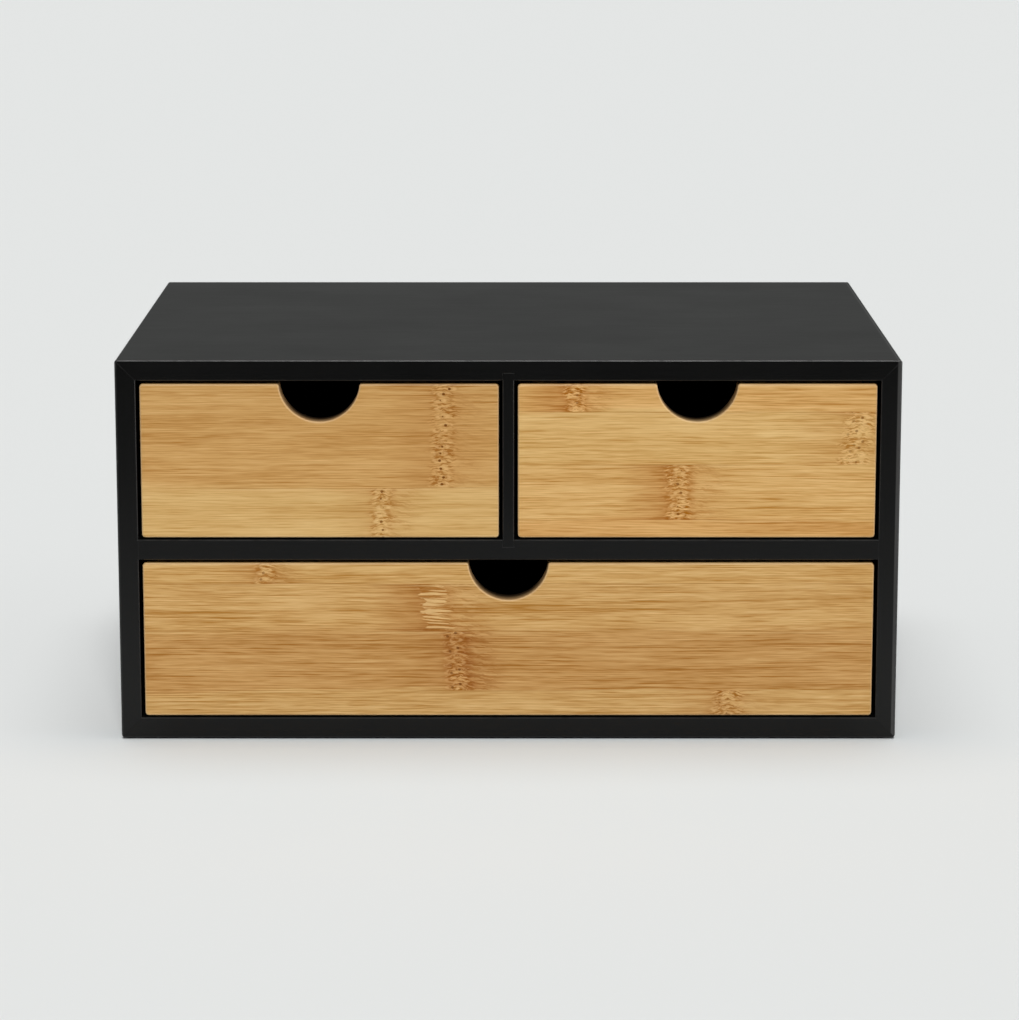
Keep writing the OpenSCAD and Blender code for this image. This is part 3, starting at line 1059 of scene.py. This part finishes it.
@dataclass
class Case:
    """The black case: mitred outer boards, shelf, partition, back panel, pads and its fixings.

    Attributes:
        top: The finish of the top board, which has a painted highlight along its right edge.
        level: The finish of boards whose grain runs across the case.
        lowest: The duller finish of the board that it stands on, with a painted reflection that
            lightens it towards its ends.
        upright: The finish of boards whose grain runs up.
        right: The finish of the right side board, whose front edge has a painted highlight.
        back: The finish of the back panel.
    """

    top: SatinLacquer = SatinLacquer("lacquer_top", "black_lacquer", grain=Axis.X, rim_highlight=0.6)
    level: SatinLacquer = SatinLacquer("lacquer_level", "black_lacquer", grain=Axis.X)
    lowest: SatinLacquer = SatinLacquer(
        "lacquer_lowest", "black_lacquer", grain=Axis.X, gloss=0.235, painted_end_reflection=1.0
    )
    upright: SatinLacquer = SatinLacquer("lacquer_upright", "black_lacquer", grain=Axis.Z)
    right: SatinLacquer = SatinLacquer(
        "lacquer_right", "black_lacquer", grain=Axis.Z, rim_highlight=0.6
    )
    back: MattBoard = MattBoard("board_back", "black_board", grain=Axis.X)

    def build(self) -> None:
        """Dresses the case's pieces."""
        for node, finish in (
            ("top_panel", self.top),
            ("shelf", self.level),
            ("bottom_panel", self.lowest),
            ("left_panel", self.upright),
            ("partition", self.upright),
            ("right_panel", self.right),
            ("back_panel", self.back),
            ("corner_tongues", Beech("beech_tongues", "beech", grain=Axis.Y)),
            ("shelf_dowels", Beech("beech_dowels", "beech", grain=Axis.X)),
            ("foot_pads", FootFoam("foam_pads", "foot_foam")),
            ("back_panel_brads", BradSteel("steel_brads", "brad_steel")),
        ):
            dress(node, finish)


@dataclass
class Drawer:
    """A drawer: a bamboo front on a thin black box.

    Attributes:
        name: What its pieces' names begin with.
        front: The front's finish.
    """

    name: str
    front: Bamboo

    def build(self) -> None:
        """Dresses the drawer's pieces."""
        along = MattBoard("board_sides", "black_board", grain=Axis.Y)
        across = MattBoard("board_ends", "black_board", grain=Axis.X)
        for piece, finish in (
            ("front", self.front),
            ("left_side", along),
            ("right_side", along),
            ("back", across),
            ("bottom", along),
            ("brads", BradSteel("steel_brads", "brad_steel")),
        ):
            dress(f"{self.name}_{piece}", finish)


LEFT_FRONT = Bamboo(
    "bamboo_left_front",
    "bamboo",
    seed=11.0,
    notch=(-81.75, 159.0),
    strips=(
        Strip(
            112.3, tone=1.067, warm=0.0, figure=0.52, soft=4.0,
            knot=Knot(
                x=-55.5, half=4.4, lean=0.05, pores=0.9, flecks=0.8, shade=0.3,
                left=0.3, right=0.5,
            ),
        ),
        Strip(
            158.0, tone=1.012, warm=0.44, figure=0.64,
            knot=Knot(
                x=-29.0, half=5.4, lean=0.02, pores=1.0, flecks=0.8, shade=0.1,
                left=0.35, right=0.35,
            ),
        ),
    ),
)
RIGHT_FRONT = Bamboo(
    "bamboo_right_front",
    "bamboo",
    seed=523.0,
    notch=(81.75, 159.0),
    strips=(
        Strip(98.2, tone=1.07, warm=0.57, figure=0.72, soft=2.0),
        Strip(
            122.5, tone=1.11, warm=0.23, figure=0.72,
            knot=Knot(
                x=74.0, half=5.4, pores=0.8, flecks=1.15, shade=0.5, left=0.9, right=0.6,
            ),
        ),
        Strip(
            145.8, tone=1.135, warm=0.02, figure=0.66, soft=1.2,
            knot=Knot(
                x=147.0, half=7.0, lean=0.10, pores=0.7, twin=0.4, flecks=0.75,
                shade=0.1, left=0.45, right=0.4,
            ),
        ),
        Strip(
            158.0, tone=1.14, warm=0.40, figure=0.80,
            knot=Knot(
                x=29.0, half=4.6, pores=0.55, flecks=1.15, shade=0.5, left=0.9, right=0.6,
            ),
        ),
    ),
)
WIDE_FRONT = Bamboo(
    "bamboo_wide_front",
    "bamboo",
    seed=911.0,
    notch=(0.0, 80.1),
    strips=(
        Strip(
            22.0, tone=0.943, warm=0.27, figure=0.88, soft=0.7,
            knot=Knot(
                x=96.0, half=6.0, pores=0.7, twin=0.7, flecks=1.2, shade=0.35,
                left=0.5, right=0.3,
            ),
        ),
        Strip(
            48.6, tone=0.87, warm=0.64, figure=0.88, soft=3.5,
            knot=Knot(
                x=-27.5, half=4.8, lean=-0.10, pores=0.85, twin=0.7, flecks=1.15,
                shade=0.8, left=0.4, right=1.0,
            ),
        ),
        Strip(
            69.7, tone=0.972, warm=0.32, figure=0.88, soft=1.5,
            knot=Knot(
                x=-36.0, half=6.6, lean=-0.15, pores=0.0, flecks=0.35, rungs=1.0,
                shade=0.3, left=0.9, right=0.7,
            ),
        ),
        Strip(
            79.1, tone=1.023, warm=0.21, figure=0.80,
            knot=Knot(
                x=-106.0, half=4.2, pores=0.65, flecks=1.1, shade=0.35, left=0.6, right=0.6,
            ),
        ),
    ),
)


# ---------- studio ----------


@dataclass(frozen=True)
class Lamp:
    """One large, soft light, far from the object.

    Attributes:
        name: What it is called.
        source: The direction that it shines from.
        strength: How strong it is.
        spread: How wide it looks from the object, in degrees.
    """

    name: str
    source: tuple[float, float, float]
    strength: float
    spread: float

    def build(self) -> None:
        """Makes the light."""
        data = bpy.data.lights.new(self.name, "SUN")
        data.energy = self.strength
        data.angle = math.radians(self.spread)
        lamp = bpy.data.objects.new(self.name, data)
        lamp.rotation_euler = Vector(self.source).to_track_quat("Z", "Y").to_euler()
        bpy.context.scene.collection.objects.link(lamp)
        LOG.info("%s: %.2f", self.name, self.strength)


@dataclass(frozen=True)
class Studio:
    """The camera, the pale floor and plain soft light.

    Attributes:
        lens: The focal length, in millimetres.
        sensor: The longer side of the camera's sensor, in millimetres.
        sight: How far the camera sees.
        camera_at: Where the camera is.
        tilt: The camera's turn about X, in degrees, where 90 looks level.
        pale: The colour of the floor and of the background.
        painted_front_shade: The floor's colour close to the fronts, a painted shade, darker and
            less warm, against the bamboo's glow on it.
        room: The dark room in front, as the lacquer shows it.
        rear: The backdrop behind, as the lacquer shows it.
        floor_front: Where the floor ends in front of the object.
        floor_rear: Where it ends behind, out of sight.
        floor_half: Half its width.
        sky: How strong the light from all round is.
        lamps: A soft light overhead, one in front and a weak one at the right.
    """

    lens: float = 129.93
    sensor: float = 36.0
    sight: float = 60.0
    camera_at: tuple[float, float, float] = (0.0005, -1.6961, 0.4114)
    tilt: float = 78.866
    pale: Rgb = (0.776, 0.791, 0.784)
    painted_front_shade: Rgb = (0.730, 0.771, 0.784)
    room: Rgb = (0.01, 0.01, 0.01)
    rear: Rgb = (0.20, 0.205, 0.20)
    floor_front: float = -0.57
    floor_rear: float = 16.0
    floor_half: float = 9.0
    sky: float = 0.14
    lamps: tuple[Lamp, ...] = (
        Lamp("overhead_light", (0.0, 0.10, 1.0), 1.35, 42.0),
        Lamp("front_light", (0.02, -0.74, 0.67), 1.93, 16.0),
        Lamp("side_light", (0.97, -0.22, 0.035), 0.90, 22.0),
    )

    def camera(self) -> None:
        """Makes the camera and looks through it."""
        data = bpy.data.cameras.new("camera")
        data.sensor_fit = "AUTO"
        data.sensor_width = self.sensor
        data.lens = self.lens
        data.clip_end = self.sight
        camera = bpy.data.objects.new("camera", data)
        camera.location = self.camera_at
        camera.rotation_euler = (math.radians(self.tilt), 0.0, 0.0)
        bpy.context.scene.collection.objects.link(camera)
        bpy.context.scene.camera = camera

    def floor(self) -> None:
        """Makes the pale table top, whose far parts run out of sight, with painted shade just in
        front of the object.
        """
        mesh = bpy.data.meshes.new("floor")
        form = bmesh.new()
        half, front, rear = self.floor_half, self.floor_front, self.floor_rear
        corners = ((-half, front), (half, front), (half, rear), (-half, rear))
        form.faces.new([form.verts.new((x, y, 0.0)) for x, y in corners])
        form.to_mesh(mesh)
        form.free()
        floor = bpy.data.objects.new("floor", mesh)
        bpy.context.scene.collection.objects.link(floor)
        material = bpy.data.materials.new("pale_floor")
        material.use_nodes = True
        shader = Shader(material.node_tree)
        x, y, _ = shader.place().parts()
        # Painted shade: darker and less warm just in front of the fronts, against the bamboo's
        # glow
        ahead = y.ramp(CASE_FRONT - 202.5, CASE_FRONT - 32.5) * y.ramp(-90.0, -130.0)
        close = ahead * abs(x).ramp(CASE_SIDE + 60.0, CASE_SIDE - 80.0)
        colour = shader.blended(self.pale, self.painted_front_shade, close)
        surface = shader.add("ShaderNodeBsdfDiffuse", {}, {"Color": colour, "Roughness": 0.0})
        shader.add("ShaderNodeOutputMaterial", {}, {0: Link(shader, surface.outputs[0])})
        mesh.materials.append(material)
        LOG.info("floor: %.1f m wide", 2 * half)

    def backdrop(self) -> None:
        """Makes the world: a pale background, and plain light from above the floor's level."""
        world = bpy.data.worlds.new("world")
        world.use_nodes = True
        bpy.context.scene.world = world
        shader = Shader(world.node_tree)
        rays = shader.add("ShaderNodeLightPath", {}, {})
        camera = Number(shader, rays.outputs[Rays.CAMERA.value])
        glossy = Number(shader, rays.outputs[Rays.GLOSSY.value])
        clear = Number(shader, rays.outputs[Rays.TRANSMISSION.value])
        direction = Triple(shader, shader.add("ShaderNodeTexCoord", {}, {}).outputs["Generated"])
        _, back, up = direction.parts()
        above = up.ramp(-0.03, 0.01)
        light = shader.blended((0.03, 0.03, 0.03), (self.sky, self.sky, self.sky), above)
        shown = shader.blended(self.room, self.rear, back.ramp(-0.35, 0.45))
        colour = light.towards(shown, glossy * above)
        colour = colour.towards(self.pale, camera.largest(clear * above))
        glow = shader.add("ShaderNodeBackground", {}, {"Color": colour, "Strength": 1.0})
        shader.add("ShaderNodeOutputWorld", {}, {0: Link(shader, glow.outputs[0])})

    def build(self) -> None:
        """Makes everything round the object."""
        self.camera()
        self.floor()
        self.backdrop()
        for lamp in self.lamps:
            lamp.build()
        bpy.context.scene.view_settings.view_transform = "Standard"


def main() -> None:
    """Builds the studio and dresses the object, part by part."""
    logging.basicConfig(level=logging.INFO, format="%(message)s")
    Studio().build()
    Case().build()
    for name, front in (
        ("left_drawer", LEFT_FRONT),
        ("right_drawer", RIGHT_FRONT),
        ("wide_drawer", WIDE_FRONT),
    ):
        Drawer(name, front).build()


if __name__ == "__main__":
    main()
